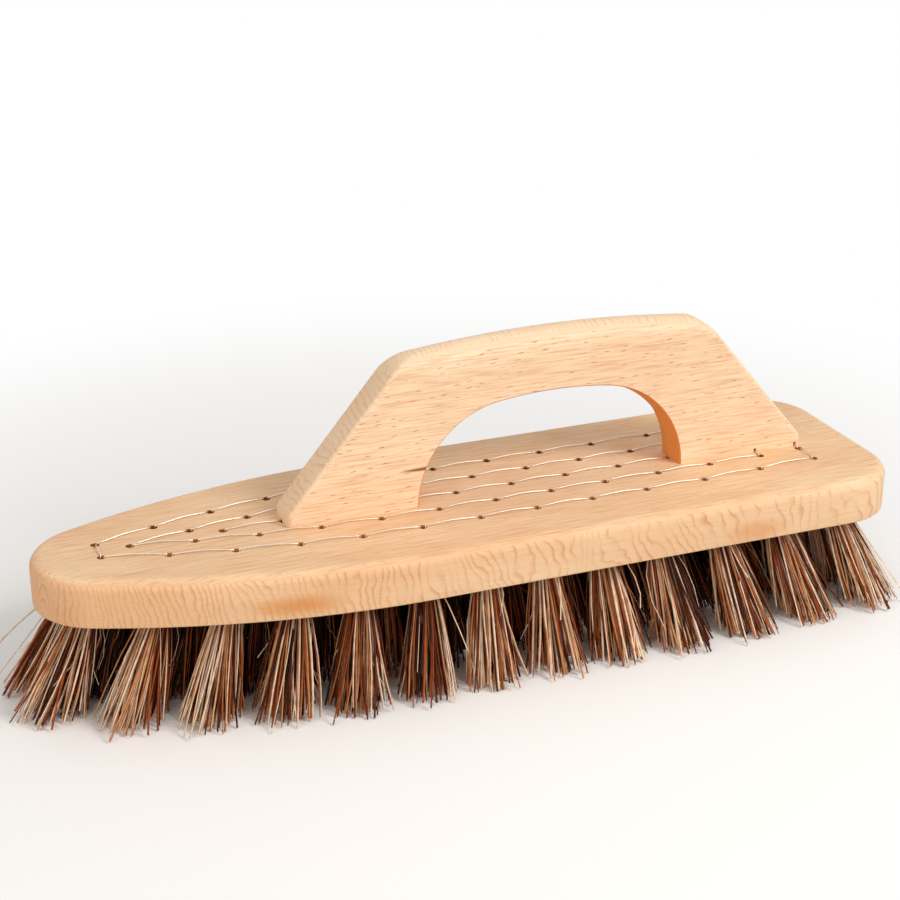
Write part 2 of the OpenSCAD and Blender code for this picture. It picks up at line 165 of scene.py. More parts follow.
class ScrubTufts(bpy.types.PropertyGroup):
    trim: length("Trim", "Length of the bristles below the block", 0.032)
    fibres: IntProperty(name="Fibres", description="Fibres in each tuft", default=160, min=20)
    root_radius: length("Root radius", "Radius of the bundle in its hole", 0.0029)
    fan_radius: length("Fan radius", "Radius of the tuft at its tips", 0.0088)
    spread: length("Spread", "Height at which the lines of the sideways fan meet", 0.050)
    sunk: length("Sunk", "How far a fibre starts inside its hole", 0.003)
    girth: length("Fibre thickness", "Thickness of the thickest fibres", 0.00104)
    uneven: length("Unevenness", "How far the cut tips end above the plane", 0.0026)
    lowest: length("Lowest tip", "How far the lowest tips stay above the plane", 0.0003)
    wander: length("Wander", "How far a tip strays from its place in the fan", 0.0034)
    bend: length("Bend", "How far a fibre bows from straight", 0.0026)
    stray_share: FloatProperty(name="Stray share", default=0.05, min=0, max=1,
                               description="Share of fibres that stand away from their tuft")
    stray_reach: length("Stray reach", "How far a stray fibre stands away", 0.0075)
    stray_rise: length("Stray rise", "How far above the plane a stray may end", 0.018)


class ScrubWire(bpy.types.PropertyGroup):
    thick: length("Thickness", "Diameter of the draw wire", 0.00045)
    arch: length("Arch", "Height of the wire's middle between two holes", 0.0008)
    gap: length("Groove gap", "Clearance of a wire in the grooves under the grip", 0.00025)
    leg: length("Leg", "Half the width of the wire's loop at the fold", 0.0007)


class ScrubFinish(bpy.types.PropertyGroup):
    beech: colour("Beech", "Body colour of the sanded beech", "#EAC197")
    beech_pale: colour("Pale beech", "Colour of the paler early wood", "#F6D7B0")
    # painted shade: the orange of the opening's shaded wall, also mixed into the block's side and
    # nose faces
    beech_painted_shade: colour("Deep beech", "Colour of the opening's sawn wall", "#E09048")
    # painted shade: the dark brown inside the drilled holes
    drilled: colour("Drilled beech", "Colour of the walls of the drilled holes", "#B06A34")
    grip: colour("Grip", "Body colour of the sanded grip", "#F3D2AE")
    grip_pale: colour("Pale grip", "Colour of the grip's paler early wood", "#FAE1C0")
    beech_line: colour("Ring line", "Colour of the late wood lines", "#CC7A3A")
    ray: colour("Ray fleck", "Colour of the ray flecks", "#B06C33")
    heart: colour("Heart streak", "Colour of the one long brown streak", "#8F4C18")
    patch: colour("Patch", "Colour of the warmer patches on the block's edge", "#DC9250")
    fibre_black: colour("Black fibre", "Darkest fibres", "#32140A")
    fibre_brown: colour("Brown fibre", "Brown fibres", "#64290F")
    fibre_rust: colour("Rust fibre", "Red-brown fibres", "#B25A28")
    fibre_tan: colour("Tan fibre", "Tan fibres", "#DFA36E")
    fibre_cream: colour("Cream fibre", "Cream fibres", "#FCDFC2")
    wire: colour("Wire", "Colour of the draw wire", "#E8D8C6")
    screw: colour("Screw", "Colour of the zinc-plated screws", "#B9BABB")
    floor: colour("Floor", "Colour of the floor", "#F4F4F3")


class ScrubStage(bpy.types.PropertyGroup):
    camera_at: FloatVectorProperty(name="Camera", description="Place of the camera from the nose",
                                   default=(-0.07382, -0.51421, 0.29332), unit="LENGTH")
    camera_way: FloatVectorProperty(name="View", description="Direction of the view",
                                    default=(0.3456, 0.8558, -0.3849))
    lens: FloatProperty(name="Lens", description="Focal length on a 36 mm sensor, in mm",
                        default=76)
    paper_near: length("Paper near", "Distance at which the paper starts to run out", 0.15)
    paper_far: length("Paper far", "Distance at which the paper is pure white", 0.36)


# ---------------------------------------------------------------- shared makers

def props(name):
    """One group of the panel's values."""
    return getattr(bpy.context.scene, "scrub_" + name)


def add(tree, kind, links=(), operation=None, **settings):
    """Adds a node, sets its properties and inputs, and returns its first output in use.

    links holds plain values and other nodes' outputs, as a list in the order of the inputs or
    as a dictionary by their names or numbers."""
    node = tree.nodes.new(kind)
    if operation:
        node.operation = operation
    for name, value in settings.items():
        setattr(node, name, value)
    for key, value in links.items() if isinstance(links, dict) else enumerate(links):
        socket = node.inputs[key]
        if isinstance(value, bpy.types.NodeSocket):
            tree.links.new(value, socket)
        else:
            socket.default_value = value
    return next((out for out in node.outputs if out.enabled), None)


def loose(name, data):
    """An object in the scene that holds a mesh, a lamp or a camera."""
    obj = bpy.data.objects.new(name, data)
    bpy.context.scene.collection.objects.link(obj)
    return obj


def solid(name, bm):
    """An object that holds the mesh of a bmesh."""
    mesh = bpy.data.meshes.new(name)
    bm.to_mesh(mesh)
    bm.free()
    return loose(name, mesh)


def cut_away(obj, cutters):
    """Takes the shapes of other objects out of one, as modifiers."""
    for cutter in cutters:
        mod = obj.modifiers.new(cutter.name, "BOOLEAN")
        mod.operation, mod.solver, mod.object = "DIFFERENCE", "EXACT", cutter


def plain(name, obj, helpers=()):
    """Turns an object with its modifiers into a plain mesh object at the origin, and removes it
    and the objects that its modifiers read."""
    made = bpy.data.meshes.new_from_object(
        obj.evaluated_get(bpy.context.evaluated_depsgraph_get()))
    if not made.polygons:
        raise RuntimeError(f"{name} came out empty")
    for spent in (obj, *helpers):
        mesh = spent.data
        bpy.data.objects.remove(spent)
        bpy.data.meshes.remove(mesh)
    return loose(name, made)


def ride(piece, slot, *nodes):
    """Fixes a finished piece to the body and hides the nodes it stands for. The slot is not used.
    """
    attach(piece, "root")
    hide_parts(*nodes)


def finish_wood(piece, flat_axis, painted_shade, wood):
    """Gives a wooden piece smooth rounded faces, flat plane faces, sharp edges and its material.
    A face attribute is 1 on the faces whose middle and facing pass the given test: the walls on
    which the material paints shade."""
    mesh = piece.data
    mesh.shade_smooth()
    mesh.set_sharp_from_angle(angle=math.radians(SHARP))
    for face in mesh.polygons:
        face.use_smooth = abs(face.normal[flat_axis]) < LEVEL
    at, facing = np.empty(len(mesh.polygons) * 3), np.empty(len(mesh.polygons) * 3)
    mesh.polygons.foreach_get("center", at)
    mesh.polygons.foreach_get("normal", facing)
    layer = mesh.attributes.new("painted_shade", "FLOAT", "FACE")
    layer.data.foreach_set("value", painted_shade(at.reshape(-1, 3), facing.reshape(-1, 3)).astype(float))
    mesh.materials.clear()
    mesh.materials.append(wood)


def arc(centre, radius, start, end, steps):
    """Points on a circle from one angle to another, in degrees."""
    turn = np.radians(np.linspace(start, end, steps + 1))
    return np.column_stack([centre[0] + radius * np.cos(turn),
                            centre[1] + radius * np.sin(turn)])


def skin(bm, rings):
    """A closed solid over a stack of rings with equally many points."""
    rows = [[bm.verts.new(p) for p in ring] for ring in rings]
    count = len(rows[0])
    faces = [bm.faces.new(rows[0]), bm.faces.new(rows[-1])]
    for low, high in zip(rows, rows[1:]):
        for k in range(count):
            n = (k + 1) % count
            faces.append(bm.faces.new([low[k], low[n], high[n], high[k]]))
    bmesh.ops.recalc_face_normals(bm, faces=faces)


def box(bm, low, high):
    """A plain box between two corners."""
    made = bmesh.ops.create_cube(bm, size=1)
    low, high = Vector(low), Vector(high)
    for v in made["verts"]:
        v.co = Vector((low[i] + (v.co[i] + 0.5) * (high[i] - low[i]) for i in range(3)))
    return made["verts"]


def rod(bm, x, y, low, high, wide_low, wide_high):
    """An upright rod or cone between two heights."""
    made = bmesh.ops.create_cone(bm, cap_ends=True, segments=32, radius1=wide_low / 2,
                                 radius2=wide_high / 2, depth=high - low)
    bmesh.ops.translate(bm, verts=made["verts"], vec=(x, y, (low + high) / 2))


# ---------------------------------------------------------------- the drilling template

class Template:
    """Stations of all holes. A hole is its place on the top, x from the nose and y from the
    middle line, the direction straight out of its row, and its sideways lean. shift brings x to
    the frame."""

    def __init__(self):
        d, b, t = props("drilling"), props("block"), props("tufts")
        self.top = t.trim + b.thick
        self.under = t.trim
        self.thick = b.thick
        self.taper = b.taper
        self.start = d.row_start
        self.tail = b.long - d.tail_inset
        self.stretch = d.tail_stretch
        self.pitch = (self.tail - self.start) / (
            EVEN_PAIR + (LAST_PAIR - EVEN_PAIR) * self.stretch)
        self.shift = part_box("block")[0][0]
        outer = [(self.outer_x(i), self.outer_y(i)) for i in range(LAST_PAIR + 1)]
        corner = outer[-1][1]
        inner = [(self.inner_x(k), self.bowed(self.inner_x(k), d.inner_half, d.inner_radius))
                 for k in range(INNER_PLACES)]
        ring_out = ([(x, -y) for x, y in outer]
                    + [(self.tail, k * corner / 2) for k in (-1, 0, 1)]
                    + [(x, y) for x, y in outer[::-1]])
        ring_in = ([(inner[0][0], 0)] + [(x, -y) for x, y in inner[1:]]
                   + [(x, y) for x, y in inner[:0:-1]])
        self.outer, self.inner = [], []
        for i, (x, y) in enumerate(ring_out):
            at_end = x < self.start + SAME or (
                x > self.tail - SAME and abs(y) < corner - SAME)
            lean = d.end_lean if at_end else d.outer_lean
            self.outer.append((x, y, self.across(ring_out, i), lean * np.sign(y)))
        for i, (x, y) in enumerate(ring_in):
            self.inner.append((x, y, self.across(ring_in, i), d.inner_lean * np.sign(y)))
        self.centre = [(self.start + self.pitch * (k + 1), 0, -math.pi / 2, 0)
                       for k in range(1, CENTRE_PLACES + 1)]
        self.holes = self.outer + self.inner + self.centre

    def bowed(self, x, half, radius):
        """Distance from the middle line of a row that draws in towards the nose."""
        if x >= self.taper:
            return half
        return half - radius + math.sqrt(radius ** 2 - (self.taper - x) ** 2)

    def outer_x(self, i):
        """Distance of an outer pair from the nose."""
        return self.start + self.pitch * (
            min(i, EVEN_PAIR) + max(0, i - EVEN_PAIR) * self.stretch)

    def outer_y(self, i):
        """Distance of an outer pair from the middle line."""
        d = props("drilling")
        return (self.bowed(self.outer_x(i), d.outer_half, d.outer_radius)
                - d.corner_in * max(0, i - LAST_PAIR + 2) / 2)

    def inner_x(self, k):
        """Distance of an inner pair from the nose."""
        return self.start + self.pitch * (k + 0.5)

    @staticmethod
    def across(ring, i):
        """Direction straight out of the ring at one of its holes."""
        (ax, ay), (bx, by) = ring[i - 1], ring[(i + 1) % len(ring)]
        return math.atan2(-(bx - ax), by - ay)

    def mouth(self, hole):
        """Where a hole comes out of the top."""
        return Vector((hole[0] + self.shift, hole[1], self.top))

    def fan(self, x):
        """Lengthwise run of a hole at x for each unit of depth."""
        d = props("drilling")
        return (x - d.fan_from) / d.fan_high

    def down(self, hole):
        """Direction of a hole's axis, down through the block."""
        return Vector((self.fan(hole[0]), math.tan(hole[3]), -1)).normalized()

    def settled(self, hole):
        """Where the fibres of a tuft head: at the nose they lean out less than their hole."""
        return Vector((self.fan(hole[0]), hole[1] / props("tufts").spread, -1)).normalized()

    def outward(self, hole):
        """Across the hole's row and square to its axis."""
        down, level = self.down(hole), Vector((math.cos(hole[2]), math.sin(hole[2]), 0))
        return (level - level.dot(down) * down).normalized()

    def through(self, hole):
        """Length of the hole's axis through the block."""
        return -self.thick / self.down(hole).z

    def turn(self, hole):
        """Turn that brings an upright drill onto the hole's axis."""
        return tuple((-self.down(hole)).to_track_quat("Z", "Y").to_euler())

    def on_wall(self, at, facing):
        """Which faces are the walls of the drilled holes."""
        found = np.zeros(len(at), bool)
        for hole in self.holes:
            down = np.array(self.down(hole))
            off = at - np.array(self.mouth(hole))
            off -= (off @ down)[:, None] * down
            found |= ((off ** 2).sum(axis=1) < WALL_REACH ** 2) & (np.abs(facing @ down) < 0.5)
        return found

    def screws(self):
        """Places of the two screws: between tufts, on the opening's side of each foot, and on
        either side of the draw wire."""
        g = props("grip")
        middle = props("block").long - g.from_tail
        reach = (g.long + g.opening_wide) / 4
        low = math.ceil((middle - reach - self.start) / self.pitch - 1.5)
        high = math.floor((middle + reach - self.start) / self.pitch - 1.5)
        places = [self.start + self.pitch * (k + 1.5) for k in (low, high)]
        return [(x + self.thick * self.fan(x) + self.shift, y)
                for x, y in zip(places, (-g.screw_off, g.screw_off))]


def station_mesh(name, points, **values):
    """A mesh of loose points with vector or number attributes."""
    mesh = bpy.data.meshes.new(name)
    mesh.from_pydata([tuple(p) for p in points], [], [])
    for key, rows in values.items():
        kind = "FLOAT_VECTOR" if hasattr(rows[0], "__len__") else "FLOAT"
        layer = mesh.attributes.new(key, kind, "POINT")
        field = "vector" if kind == "FLOAT_VECTOR" else "value"
        layer.data.foreach_set(field, np.ravel([tuple(r) if kind != "FLOAT" else r for r in rows]))
    return mesh


def group(name, inputs):
    """A geometry tree with named inputs. Returns it, those inputs and where its result goes."""
    tree = bpy.data.node_groups.new(name, "GeometryNodeTree")
    tree.interface.new_socket("Geometry", in_out="INPUT", socket_type="NodeSocketGeometry")
    for label, kind in inputs:
        tree.interface.new_socket(label, in_out="INPUT", socket_type="NodeSocket" + kind)
    tree.interface.new_socket("Geometry", in_out="OUTPUT", socket_type="NodeSocketGeometry")
    start, end = tree.nodes.new("NodeGroupInput"), tree.nodes.new("NodeGroupOutput")
    return tree, start.outputs, end.inputs[0]


def wear(obj, tree, values):
    """Puts a tree on an object and sets its inputs by their identifiers."""
    mod = obj.modifiers.new(tree.name, "NODES")
    mod.node_group = tree
    for item in tree.interface.items_tree:
        if item.in_out == "INPUT" and item.name in values:
            mod[item.identifier] = values[item.name]
    return obj


# ---------------------------------------------------------------- geometry trees

def drill_tree():
    """Drills round holes at stations, each turned by its station's own turn."""
    tree, got, end = group("Drill holes", [
        ("Stations", "Object"), ("Diameter", "Float"), ("Depth", "Float"), ("Sides", "Int"),
        ("Wood", "Material")])
    put = partial(add, tree)
    info = put("GeometryNodeObjectInfo", {"Object": got["Stations"]}).node.outputs
    drill = put("GeometryNodeMeshCylinder", {
        "Vertices": got["Sides"], "Radius": put(MATH, [got["Diameter"], 0.5], "MULTIPLY"),
        "Depth": put(MATH, [got["Depth"], 2.0], "MULTIPLY")})
    turn = put(NAMED, {"Name": "turn"}, data_type="FLOAT_VECTOR")
    drills = put("GeometryNodeInstanceOnPoints", {
        "Points": put("GeometryNodeMeshToPoints", [info["Geometry"]]), "Instance": drill,
        "Rotation": put("FunctionNodeEulerToRotation", [turn])})
    cut = put("GeometryNodeMeshBoolean", {
        "Mesh 1": got["Geometry"], "Mesh 2": put(REALIZE, [drills])}, "DIFFERENCE",
        solver="EXACT")
    wood = put("GeometryNodeSetMaterial", {
        "Geometry": put(REALIZE, [cut]), "Material": got["Wood"]})
    tree.links.new(wood, end)
    return tree


def wire_tree():
    """Sweeps a round wire along the piece's line of points."""
    tree, got, end = group("Draw wire", [
        ("Diameter", "Float"), ("Sides", "Int"), ("Steel", "Material")])
    put = partial(add, tree)
    profile = put("GeometryNodeCurvePrimitiveCircle", {
        "Resolution": got["Sides"], "Radius": put(MATH, [got["Diameter"], 0.5], "MULTIPLY")})
    swept = put("GeometryNodeCurveToMesh", {
        "Curve": put("GeometryNodeMeshToCurve", [got["Geometry"]]), "Profile Curve": profile,
        "Fill Caps": True})
    steel = put("GeometryNodeSetMaterial", {
        "Geometry": put(REALIZE, [swept]), "Material": got["Steel"]})
    tree.links.new(steel, end)
    return tree


def fibre_tree():
    """Fills each tuft's station with fibres that fan out to the trimmed plane. A fibre bends
    from its root past its middle to its tip, and is swept with three sides."""
    tree, got, end = group("Fibre tufts", [
        ("Fibres", "Int"), ("Root radius", "Float"), ("Fan radius", "Float"),
        ("Thickness", "Float"), ("Unevenness", "Float"), ("Lowest tip", "Float"),
        ("Wander", "Float"), ("Bend", "Float"), ("Stray share", "Float"),
        ("Stray reach", "Float"), ("Stray rise", "Float"), ("Painted inner shade", "Float"),
        ("Seed", "Int"), ("Fibre", "Material")])
    put = partial(add, tree)
    points = put("GeometryNodeMeshToPoints", [got["Geometry"]])
    kept = put("GeometryNodeDuplicateElements", {
        "Geometry": points, "Amount": got["Fibres"]}, domain="POINT")

    # what every fibre draws by chance, each with a seed of its own: its turn and place in the
    # bundle, whether it strays, where to, how unevenly it is cut, how it bows, its tone, its
    # thickness, and how high a stray ends
    all_round = (-1, -1, -1), (1, 1, 1)
    draws = []
    for offset, (low, high) in enumerate((
            (0, math.tau), (0, 1), (0, 1), all_round, (0, 1), all_round, (0.02, 1), (0.42, 1),
            (0, 1)), start=1):
        first, kind = (0, "FLOAT_VECTOR") if high == all_round[1] else (2, "FLOAT")
        draws.append(put("FunctionNodeRandomValue", {
            first: low, first + 1: high, "Seed": put(MATH, [got["Seed"], offset], "ADD")},
            data_type=kind))
    spin, area, lot, sway, ragged, bow, shade, slim, lift = draws

    # what its tuft's station tells it, and further down what it keeps for its own curve
    told = {name: put(NAMED, {"Name": name}, data_type=kind) for name, kind in (
        ("down", "FLOAT_VECTOR"), ("outward", "FLOAT_VECTOR"), ("along", "FLOAT_VECTOR"),
        ("reach", "FLOAT"), ("root", "FLOAT_VECTOR"), ("middle", "FLOAT_VECTOR"),
        ("tip", "FLOAT_VECTOR"), ("girth", "FLOAT"))}

    # place in the bundle, the same share of the radius at the root and at the tip
    here = put("GeometryNodeInputPosition")
    share = put(MATH, [area], "SQRT")
    out = put(VECTOR, [told["outward"], put(MATH, [spin], "COSINE")], "MULTIPLY")
    out = put(VECTOR, [told["along"], put(MATH, [spin], "SINE"), out], "MULTIPLY_ADD")
    root = put(VECTOR, [out, put(MATH, [share, got["Root radius"]], "MULTIPLY"), here],
               "MULTIPLY_ADD")

    # a few strays leave the fan, and bow more. They stray least across the brush
    stray = put(MATH, [lot, got["Stray share"]], "LESS_THAN")
    wander = put(MATH, [stray, got["Stray reach"], got["Wander"]], "MULTIPLY_ADD")
    bend = put(MATH, [stray, put(MATH, [got["Stray reach"], 0.9], "MULTIPLY"), got["Bend"]],
               "MULTIPLY_ADD")
    aim = put(VECTOR, [told["down"], told["reach"], here], "MULTIPLY_ADD")
    aim = put(VECTOR, [out, put(MATH, [share, got["Fan radius"]], "MULTIPLY"), aim],
              "MULTIPLY_ADD")
    aim = put(VECTOR, [put(VECTOR, [sway, wander], "MULTIPLY"), (1, 0.35, 1), aim],
              "MULTIPLY_ADD")

    # every fibre is cut where it meets the trimmed plane, and most tips end near it
    cut = put(MATH, [put(MATH, [ragged, 1.7], "POWER"), got["Unevenness"], got["Lowest tip"]],
              "MULTIPLY_ADD")
    cut = put(MATH, [put(MATH, [stray, lift], "MULTIPLY"), got["Stray rise"], cut],
              "MULTIPLY_ADD")
    way = put(VECTOR, [aim, root], "SUBTRACT")
    fall = put(MATH, [cut, put(SPLIT, [root]).node.outputs[2]], "SUBTRACT")
    run = put(MATH, [fall, put(SPLIT, [way]).node.outputs[2]], "DIVIDE")
    tip = put(VECTOR, [way, run, root], "MULTIPLY_ADD")
    middle = put(VECTOR, [put(VECTOR, [root, tip], "ADD"), (0.5, 0.5, 0.5)], "MULTIPLY")
    middle = put(VECTOR, [put(VECTOR, [bow, bend], "MULTIPLY"), (1, 0.5, 0.6), middle],
                 "MULTIPLY_ADD")

    # the tone runs from 0, black, to 1, cream, in clumps of about 2 mm. Strays are pale and thin
    clump = put(NOISE, {"Vector": root, "Scale": 520.0, "Detail": 1.0})
    tone = put(MATH, [put(MATH, [clump, 0.5], "SUBTRACT"), 0.9, shade], "MULTIPLY_ADD")
    tone = put(MATH, [tone, put(MATH, [stray, 0.9], "MULTIPLY")], "MAXIMUM")
    # the inner tufts' tone is lowered: painted shade between the tufts
    tone = put(MATH, [tone, got["Painted inner shade"]], "SUBTRACT")
    girth = put(MATH, [got["Thickness"], slim], "MULTIPLY")
    girth = put(MATH, [girth, put(MATH, [stray, -0.35, 1.0], "MULTIPLY_ADD")], "MULTIPLY")
    for name, value, kind in (
            ("root", root, "FLOAT_VECTOR"), ("middle", middle, "FLOAT_VECTOR"),
            ("tip", tip, "FLOAT_VECTOR"), ("tone", tone, "FLOAT"), ("girth", girth, "FLOAT")):
        kept = put(STORE, {"Geometry": kept, "Name": name, "Value": value}, data_type=kind,
                   domain="POINT")

    # a short straight line stands on every point, and is then laid on the fibre's own curve
    line = put("GeometryNodeCurvePrimitiveLine", {"Start": (0, 0, 0), "End": (0, 0, 0.03)})
    steps = put("GeometryNodeResampleCurve", {"Curve": line, "Count": 5})
    hairs = put(REALIZE, [put("GeometryNodeInstanceOnPoints", {
        "Points": kept, "Instance": steps})])
    part = put("GeometryNodeSplineParameter")
    rest = put(MATH, [1.0, part], "SUBTRACT")
    weights = (put(MATH, [rest, rest], "MULTIPLY"),
               put(MATH, [put(MATH, [rest, part], "MULTIPLY"), 2.0], "MULTIPLY"),
               put(MATH, [part, part], "MULTIPLY"))
    near, bent, far = (put(VECTOR, [told[name], weight], "MULTIPLY")
                       for name, weight in zip(("root", "middle", "tip"), weights))
    place = put(VECTOR, [put(VECTOR, [near, bent], "ADD"), far], "ADD")
    laid = put("GeometryNodeSetPosition", {"Geometry": hairs, "Position": place})
    laid = put(STORE, {"Geometry": laid, "Name": "part", "Value": part}, data_type="FLOAT",
               domain="POINT")
    thin = put(MATH, [told["girth"], put(MATH, [part, -0.2, 1.0], "MULTIPLY_ADD")], "MULTIPLY")
    swept = put("GeometryNodeCurveToMesh", {
        "Curve": laid, "Scale": thin, "Fill Caps": True,
        "Profile Curve": put("GeometryNodeCurvePrimitiveCircle", {
            "Resolution": 3, "Radius": 0.5})})
    fibre = put("GeometryNodeSetMaterial", {
        "Geometry": put(REALIZE, [swept]), "Material": got["Fibre"]})
    tree.links.new(fibre, end)
    return tree


# ---------------------------------------------------------------- materials

def material(name):
    """A new material with an empty tree."""
    made = bpy.data.materials.new(name)
    made.use_nodes = True
    made.node_tree.nodes.clear()
    return made, made.node_tree


def beech(name, top_axis, tints, painted_shade_tint, painted_side_shade, lines, pitch, near, rays, ray_cell, ray_size,
          spots):
    """Beech, planed and fine sanded, unfinished: a satin surface, straight fine grain along X,
    thin late wood lines and the short ray flecks that mark beech. Lengths are in mm.

    top_axis: the axis whose faces are plane and show straight grain
    tints, deep: the body colour and the paler one of the early wood, and the painted shade colour
    of the walls of holes and openings that the face attribute marks
    warmth: how much deeper the colour of the faces off that axis is, more where they face the
    nose: painted shade, partly the end grain's own deeper colour
    lines, pitch, near: strength of the ring lines on those faces, their spacing at the nose,
        and the distance over which the spacing doubles
    rays, ray_cell, ray_size: strength, spacing and half size of the ray plates
    spots: single marks, each as centre, half size, colour and strength"""
    c = props("finish")
    made, tree = material(name)
    put = partial(add, tree)
    where = put("ShaderNodeTexCoord").node.outputs
    mm = put(MAPPING, {0: where["Object"], "Scale": (1000,) * 3})
    x, y, z = put(SPLIT, [mm]).node.outputs
    facing = put(SPLIT, [where["Normal"]]).node.outputs

    # how far a face shows end grain towards the nose, where shade is painted too, how plane it is,
    # and how much an end
    end_grain_and_shade = put(RANGE, [facing[0], -0.05, -0.6, 0.0, 0.25])
    flat = put(RANGE, [put(MATH, [facing[top_axis]], "ABSOLUTE"), 0.55, 0.9],
               interpolation_type="SMOOTHSTEP")
    ending = put(RANGE, [put(MATH, [facing[0]], "ABSOLUTE"), 0.8, 0.95])

    # noises, each with its waves per mm along X, Y and Z. The grain's vessels are about 0.1 mm
    # wide, and are drawn at 0.6 mm so that they show
    swing, wave, shiver, fading, grain, cloud = (
        put(NOISE, {"Vector": put(MAPPING, {0: mm, "Scale": stretch}), "Scale": scale,
                    "Detail": detail, "Roughness": rough})
        for stretch, scale, detail, rough in (
            ((0.008, 0.03, 0.03), 1.0, 1.0, 0.5), ((0.055, 0.03, 0.04), 1.0, 3.0, 0.5),
            ((0.16, 0.2, 0.22), 1.0, 1.0, 0.5), ((0.16, 0.2, 0.22), 0.6, 2.0, 0.5),
            ((0.07, 1.7, 1.7), 1.0, 3.0, 0.6), ((0.012, 0.05, 0.05), 1.0, 3.0, 0.5)))

    # rings on the plane and end faces: 2.1 mm apart, straight but for a slow swing
    swing = put(MATH, [put(MATH, [swing, 0.5], "SUBTRACT"), 16.0], "MULTIPLY")
    depth = put(MATH, [put(MATH, [z, 0.35, y], "MULTIPLY_ADD"), swing], "ADD")
    depth = put(MATH, [depth, 2.1], "DIVIDE")

    # rings across the edges: they stand upright, close at the nose and wider towards the tail
    across = put(MATH, [put(MATH, [x, near], "DIVIDE"), 1.0 + NOSE_MM / near], "ADD")
    across = put(MATH, [put(MATH, [across, math.e], "LOGARITHM"), near / pitch], "MULTIPLY")
    across = put(MATH, [z, 0.10, across], "MULTIPLY_ADD")
    for stir, strength in ((wave, 6.5), (shiver, 0.8)):
        across = put(MATH, [put(MATH, [stir, 0.5], "SUBTRACT"), strength, across],
                     "MULTIPLY_ADD")

    # a ring's line darkens slowly through the late wood and stops short
    ring = put(MATH, [put(MIX, {0: put(MATH, [flat, ending], "MAXIMUM"), 2: across, 3: depth})],
               "FRACT")
    late = put(MATH, [put(RANGE, [ring, 0.45, 0.92]), 1.8], "POWER")
    line = put(MATH, [late, put(RANGE, [ring, 1.0, 0.92])], "MULTIPLY")
    for weight in (put(MATH, [put(RANGE, [fading, 0.35, 0.65]), 0.85, 0.15], "MULTIPLY_ADD"),
                   put(MATH, [flat, 0.16 - lines, lines], "MULTIPLY_ADD")):
        line = put(MATH, [line, weight], "MULTIPLY")

    # ray plates: thin ellipsoids in every cell of a stretched cell pattern, a little tilted
    tilt = put(MAPPING, {0: mm, "Rotation": (0, math.radians(4), 0)})
    sway = put(NOISE, {"Vector": tilt, "Scale": 0.12, "Detail": 1.0}).node.outputs[1]
    sway = put(VECTOR, [sway, (0.5, 0.5, 0.5)], "SUBTRACT")
    tilt = put(VECTOR, [sway, (2.0, 2.0, 2.0), tilt], "MULTIPLY_ADD")
    cells = put(MAPPING, {0: tilt, "Scale": tuple(1 / s for s in ray_cell)})
    seeds = put("ShaderNodeTexVoronoi", {"Vector": cells, "Scale": 1.0}).node.outputs
    off = put(VECTOR, [cells, seeds["Position"]], "SUBTRACT")
    off = put(VECTOR, [off, tuple(a / b for a, b in zip(ray_cell, ray_size))], "MULTIPLY")
    ray = put(RANGE, [put(VECTOR, [off], "LENGTH"), 1.0, 0.45])
    for weight in (put(RANGE, [put("ShaderNodeSeparateColor", [seeds["Color"]]), 0.1, 0.6, 0.0,
                               0.8]),
                   put(MATH, [flat, rays - 0.05, 0.05], "MULTIPLY_ADD")):
        ray = put(MATH, [ray, weight], "MULTIPLY")

    # layers of colour from the body up. The faces off the plane get painted shade, partly the end
    # grain's own deeper colour, and the marked walls of holes and the opening get painted shade
    painted_side_tint = put(MATH, [put(MATH, [1.0, flat], "SUBTRACT"),
                      put(MATH, [end_grain_and_shade, painted_side_shade * 10, painted_side_shade], "MULTIPLY_ADD")], "MULTIPLY")
    # painted shade on the walls of holes and of the opening that the face attribute marks
    painted_shade = put("ShaderNodeAttribute", attribute_name="painted_shade").node.outputs["Fac"]
    fine = put(MATH, [put(RANGE, [grain, 0.44, 0.76]),
                      put(MATH, [flat, 0.4, 0.2], "MULTIPLY_ADD")], "MULTIPLY")
    layers = [(put(RANGE, [cloud, 0.3, 0.7]), tints[1]), (painted_side_tint, c.beech_painted_shade), (painted_shade, painted_shade_tint),
              (fine, c.beech_line), (line, c.beech_line), (ray, c.ray)]
    frayed = put(MATH, [put(MATH, [grain, 0.5], "SUBTRACT"), 0.9], "MULTIPLY")
    for centre, half, tint, strength in spots:
        apart = put(VECTOR, [put(VECTOR, [mm, centre], "SUBTRACT"),
                             tuple(1 / h for h in half)], "MULTIPLY")
        apart = put(MATH, [put(VECTOR, [apart], "LENGTH"), frayed], "ADD")
        layers.append((put(RANGE, [apart, 1.0, 0.35, 0.0, strength]), tint))
    body = (*tints[0], 1)
    for factor, tint in layers:
        body = put(MIX, {0: factor, 6: body, 7: (*tint, 1)}, data_type="RGBA")

    relief = put(MATH, [put(MATH, [grain, 0.6], "MULTIPLY"),
                        put(MATH, [put(MATH, [line, ray], "ADD"), -0.1], "MULTIPLY")], "ADD")
    bump = put("ShaderNodeBump", {"Strength": 0.22, "Distance": 0.00025, "Height": relief})
    shader = put("ShaderNodeBsdfPrincipled", {
        "Base Color": body, "Normal": bump, "Roughness": 0.56, "IOR": 1.45,
        "Specular IOR Level": 0.35})
    put("ShaderNodeOutputMaterial", {"Surface": shader})
    return made


